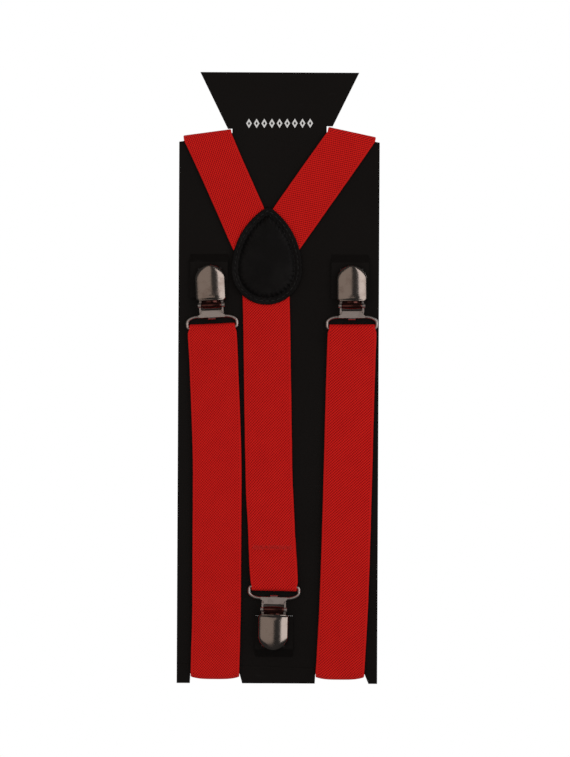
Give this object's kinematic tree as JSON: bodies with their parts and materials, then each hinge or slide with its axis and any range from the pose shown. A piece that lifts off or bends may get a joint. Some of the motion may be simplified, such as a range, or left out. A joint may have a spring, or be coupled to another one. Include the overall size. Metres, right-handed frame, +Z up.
{
  "type": "clip-on suspenders",
  "caption": "Red Y-back elastic suspenders with a black leather patch and metal lever clips, folded and clipped on a black hanging display card.",
  "frame": {"origin": "centre of the display card's hang hole, half-way through the card's thickness", "axes": "+Z up, -Y out of the front of the card, +X to the right seen from the front"},
  "size_m": [0.102, 0.0163, 0.3114],
  "materials": {
    "black_card": "matt black coated card",
    "red_webbing": "red elastic webbing with a fine diamond weave",
    "red_thread": "red sewing thread",
    "black_thread": "black sewing thread",
    "padding": "felt padding",
    "black_leather": "smooth black leather",
    "grip_plastic": "black plastic",
    "chrome_cover": "polished nickel plate",
    "chrome_steel": "nickel-plated steel"
  },
  "bodies": {
    "card_and_straps": {"card": "black_card", "left_strap": "red_webbing", "left_strap_tail": "red_webbing", "right_strap": "red_webbing", "right_strap_tail": "red_webbing", "back_strap": "red_webbing", "back_strap_tack": "red_thread", "patch_back": "black_leather", "patch_filler": "padding", "patch_front": "black_leather", "patch_stitching": "black_thread", "left_tab": "black_card", "right_tab": "black_card", "bottom_tab": "black_card"},
    "hang_flap": {"hang_flap": "black_card"},
    "left_bail": {"left_bail": "chrome_steel"},
    "left_clip": {"left_clip_base": "chrome_steel", "left_clip_pin": "chrome_steel"},
    "left_jaw": {"left_clip_jaw": "chrome_steel", "left_clip_pad": "grip_plastic"},
    "left_lever": {"left_clip_lever": "chrome_cover"},
    "right_bail": {"right_bail": "chrome_steel"},
    "right_clip": {"right_clip_base": "chrome_steel", "right_clip_pin": "chrome_steel"},
    "right_jaw": {"right_clip_jaw": "chrome_steel", "right_clip_pad": "grip_plastic"},
    "right_lever": {"right_clip_lever": "chrome_cover"},
    "bottom_bail": {"bottom_bail": "chrome_steel"},
    "bottom_clip": {"bottom_clip_base": "chrome_steel", "bottom_clip_pin": "chrome_steel"},
    "bottom_jaw": {"bottom_clip_jaw": "chrome_steel", "bottom_clip_pad": "grip_plastic"},
    "bottom_lever": {"bottom_clip_lever": "chrome_cover"},
    "left_adjuster": {"left_adjuster_frame": "chrome_steel", "left_end_tack": "red_thread"},
    "left_adjuster_lever": {"left_adjuster_lever": "chrome_cover"},
    "right_adjuster": {"right_adjuster_frame": "chrome_steel", "right_end_tack": "red_thread"},
    "right_adjuster_lever": {"right_adjuster_lever": "chrome_cover"}
  },
  "joints": [
    {"name": "hang_flap_hinge", "type": "hinge", "parent": "card_and_straps", "child": "hang_flap", "pos_m": [0, 0.00025, 0.003], "axis": [1, 0, 0], "range_deg": [0, 85]},
    {"name": "left_bail_hinge", "type": "hinge", "parent": "card_and_straps", "child": "left_bail", "pos_m": [-0.0338, -0.00245, -0.1192], "axis": [0.9988, 0, 0.0489], "range_deg": [0, 25], "deforming": ["left_tab"]},
    {"name": "left_clip_swivel", "type": "hinge", "parent": "left_bail", "child": "left_clip", "pos_m": [-0.03408, -0.00245, -0.11341], "axis": [0.9988, 0, 0.0489], "range_deg": [0, 70], "deforming": ["left_tab"]},
    {"name": "left_lever_hinge", "type": "hinge", "parent": "left_clip", "child": "left_lever", "pos_m": [-0.03436, -0.00645, -0.10781], "axis": [0.9988, 0, 0.0489], "range_deg": [0, 90], "deforming": ["left_tab"]},
    {"name": "left_jaw_hinge", "type": "hinge", "parent": "left_clip", "child": "left_jaw", "pos_m": [-0.03427, -0.00335, -0.10951], "axis": [0.9988, 0, 0.0489], "range_deg": [0, 11], "deforming": ["left_tab"]},
    {"name": "right_bail_hinge", "type": "hinge", "parent": "card_and_straps", "child": "right_bail", "pos_m": [0.0374, -0.00245, -0.1192], "axis": [1, 0, 0.0087], "range_deg": [0, 25], "deforming": ["right_tab"]},
    {"name": "right_clip_swivel", "type": "hinge", "parent": "right_bail", "child": "right_clip", "pos_m": [0.03735, -0.00245, -0.1134], "axis": [1, 0, 0.0087], "range_deg": [0, 70], "deforming": ["right_tab"]},
    {"name": "right_lever_hinge", "type": "hinge", "parent": "right_clip", "child": "right_lever", "pos_m": [0.0373, -0.00645, -0.1078], "axis": [1, 0, 0.0087], "range_deg": [0, 90], "deforming": ["right_tab"]},
    {"name": "right_jaw_hinge", "type": "hinge", "parent": "right_clip", "child": "right_jaw", "pos_m": [0.03732, -0.00335, -0.1095], "axis": [1, 0, 0.0087], "range_deg": [0, 11], "deforming": ["right_tab"]},
    {"name": "bottom_bail_hinge", "type": "hinge", "parent": "card_and_straps", "child": "bottom_bail", "pos_m": [-0.0016, -0.00245, -0.2511], "axis": [-0.9998, 0, 0.0175], "range_deg": [0, 25], "deforming": ["bottom_tab"]},
    {"name": "bottom_clip_swivel", "type": "hinge", "parent": "bottom_bail", "child": "bottom_clip", "pos_m": [-0.0017, -0.00245, -0.2569], "axis": [-0.9998, 0, 0.0175], "range_deg": [0, 70], "deforming": ["bottom_tab"]},
    {"name": "bottom_lever_hinge", "type": "hinge", "parent": "bottom_clip", "child": "bottom_lever", "pos_m": [-0.0018, -0.00645, -0.2625], "axis": [-0.9998, 0, 0.0175], "range_deg": [0, 90], "deforming": ["bottom_tab"]},
    {"name": "bottom_jaw_hinge", "type": "hinge", "parent": "bottom_clip", "child": "bottom_jaw", "pos_m": [-0.00177, -0.00335, -0.2608], "axis": [-0.9998, 0, 0.0175], "range_deg": [0, 11], "deforming": ["bottom_tab"]},
    {"name": "left_adjuster_slide", "type": "slide", "parent": "card_and_straps", "child": "left_adjuster", "axis": [-0.0179, 0, 0.9998], "range_m": [-0.04, 0.04], "deforming": ["left_strap_tail"]},
    {"name": "left_adjuster_lever_hinge", "type": "hinge", "parent": "left_adjuster", "child": "left_adjuster_lever", "pos_m": [-0.03404, 0.0071, -0.1594], "axis": [0.9998, 0, 0.0179], "range_deg": [0, 80]},
    {"name": "right_adjuster_slide", "type": "slide", "parent": "card_and_straps", "child": "right_adjuster", "axis": [0.0164, 0, 0.9999], "range_m": [-0.04, 0.04], "deforming": ["right_strap_tail"]},
    {"name": "right_adjuster_lever_hinge", "type": "hinge", "parent": "right_adjuster", "child": "right_adjuster_lever", "pos_m": [0.03433, 0.0071, -0.1594], "axis": [0.9999, 0, -0.0164], "range_deg": [0, 80]}
  ],
  "couplings": [
    {"joint": "left_jaw_hinge", "follows": "left_lever_hinge", "ratio": 0.12},
    {"joint": "right_jaw_hinge", "follows": "right_lever_hinge", "ratio": 0.12},
    {"joint": "bottom_jaw_hinge", "follows": "bottom_lever_hinge", "ratio": 0.12}
  ]
}
